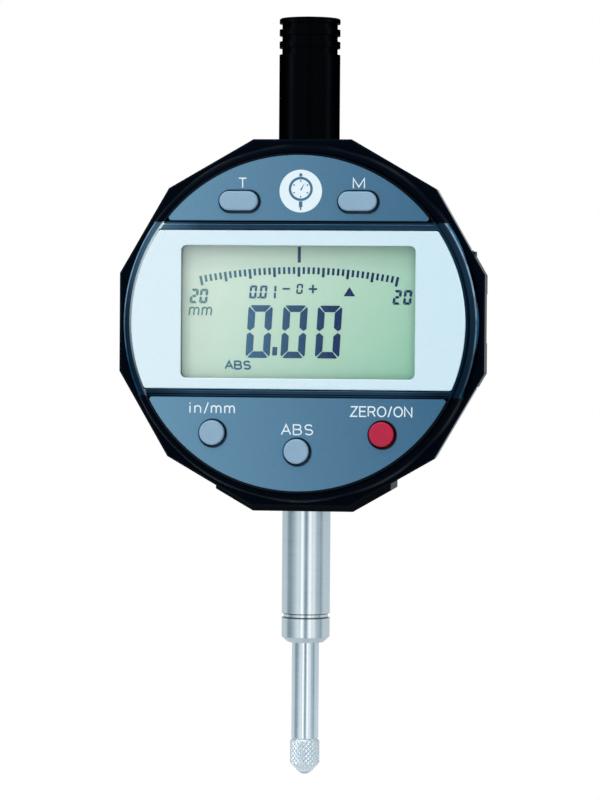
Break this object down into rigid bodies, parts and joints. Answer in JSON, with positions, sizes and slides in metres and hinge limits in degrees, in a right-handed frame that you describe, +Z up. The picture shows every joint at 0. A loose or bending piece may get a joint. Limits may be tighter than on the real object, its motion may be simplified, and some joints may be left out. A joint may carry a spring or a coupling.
{
  "type": "dial indicator",
  "caption": "Digital dial indicator: twelve-sided case with a display and keys, clamping stem, sprung spindle with a knurled contact point, and a dust cap.",
  "frame": {"origin": "on the spindle axis, halfway along the clamping length of the stem", "axes": "+Z up along the spindle towards the dust cap, +X to the right of a person reading the display, +Y away from the reader towards the back cover"},
  "size_m": [0.06, 0.038, 0.1255],
  "materials": {
    "shell_black": "moulded black, polished band",
    "case_black": "black paint on die casting",
    "cover_black": "black paint, fine texture",
    "plate_grey": "steel-blue anodised, fine grain",
    "plate_silver": "pale silver anodised",
    "lens_clear": "clear acrylic",
    "lcd": "yellow-green liquid crystal cell",
    "holder_white": "moulded white",
    "elastomer": "striped elastomer",
    "board_green": "solder mask",
    "chip_black": "moulded epoxy",
    "screw_steel": "zinc-plated",
    "switch_black": "moulded",
    "key_grey": "light grey, satin",
    "key_red": "crimson, satin",
    "stem_steel": "ground and polished",
    "spindle_steel": "ground, hardened",
    "point_steel": "diamond knurled",
    "ball": "polished hardened ball",
    "bush_bronze": "turned",
    "cap_black": "black anodised, turned",
    "carrier_alu": "milled",
    "scale": "glass-epoxy with copper electrodes",
    "rod_steel": "ground",
    "washer_rubber": "moulded",
    "spring_steel": "drawn wire",
    "tray_black": "moulded, fine texture",
    "cell_steel": "nickel-plated can",
    "contact_brass": "sprung strip",
    "socket_black": "moulded",
    "plug_rubber": "moulded"
  },
  "bodies": {
    "case": {"front_shell": "shell_black", "rear_case": "case_black", "back_cover": "cover_black", "upper_label_plate": "plate_grey", "lower_label_plate": "plate_grey", "display_plate": "plate_silver", "lcd_lens": "lens_clear", "lcd_cell": "lcd", "lcd_holder": "holder_white", "zebra_strips": "elastomer", "circuit_board": "board_green", "pcb_screws": "screw_steel", "controller_chip": "chip_black", "key_switches": "switch_black", "shell_screws": "screw_steel", "cover_screws": "screw_steel", "stem": "stem_steel", "lower_bush": "bush_bronze", "upper_bush": "bush_bronze", "dust_cap": "cap_black", "reader_board": "board_green", "reader_screws": "screw_steel", "board_header": "socket_black", "guide_rod": "rod_steel", "bump_washer": "washer_rubber", "return_spring": "spring_steel", "battery_contacts": "contact_brass", "data_socket": "socket_black"},
    "spindle": {"spindle": "spindle_steel", "contact_point": "point_steel", "contact_ball": "ball", "scale_carrier": "carrier_alu", "carrier_screw": "screw_steel", "capacitive_scale": "scale"},
    "battery_drawer": {"battery_tray": "tray_black", "coin_cell": "cell_steel"},
    "port_plug": {"data_port_cover": "plug_rubber"},
    "t_key": {"key_t": "key_grey"},
    "m_key": {"key_m": "key_grey"},
    "in_mm_key": {"key_in_mm": "key_grey"},
    "abs_key": {"key_abs": "key_grey"},
    "zero_key": {"key_zero": "key_red"}
  },
  "joints": [
    {"name": "spindle_slide", "type": "slide", "parent": "case", "child": "spindle", "axis": [0, 0, 1], "range_m": [0, 0.0127], "stiffness_N_per_m": 45, "springref_m": -0.014, "deforming": ["return_spring"]},
    {"name": "t_key_press", "type": "slide", "parent": "case", "child": "t_key", "axis": [0, 1, 0], "range_m": [0, 0.0005], "stiffness_N_per_m": 1500, "springref_m": -0.0003},
    {"name": "m_key_press", "type": "slide", "parent": "case", "child": "m_key", "axis": [0, 1, 0], "range_m": [0, 0.0005], "stiffness_N_per_m": 1500, "springref_m": -0.0003},
    {"name": "in_mm_key_press", "type": "slide", "parent": "case", "child": "in_mm_key", "axis": [0, 1, 0], "range_m": [0, 0.0005], "stiffness_N_per_m": 1500, "springref_m": -0.0003},
    {"name": "abs_key_press", "type": "slide", "parent": "case", "child": "abs_key", "axis": [0, 1, 0], "range_m": [0, 0.0005], "stiffness_N_per_m": 1500, "springref_m": -0.0003},
    {"name": "zero_key_press", "type": "slide", "parent": "case", "child": "zero_key", "axis": [0, 1, 0], "range_m": [0, 0.0005], "stiffness_N_per_m": 1500, "springref_m": -0.0003},
    {"name": "battery_drawer_slide", "type": "slide", "parent": "case", "child": "battery_drawer", "axis": [1, 0, 0], "range_m": [0, 0.024]},
    {"name": "port_plug_pull", "type": "slide", "parent": "case", "child": "port_plug", "axis": [-1, 0, 0], "range_m": [0, 0.006]}
  ]
}
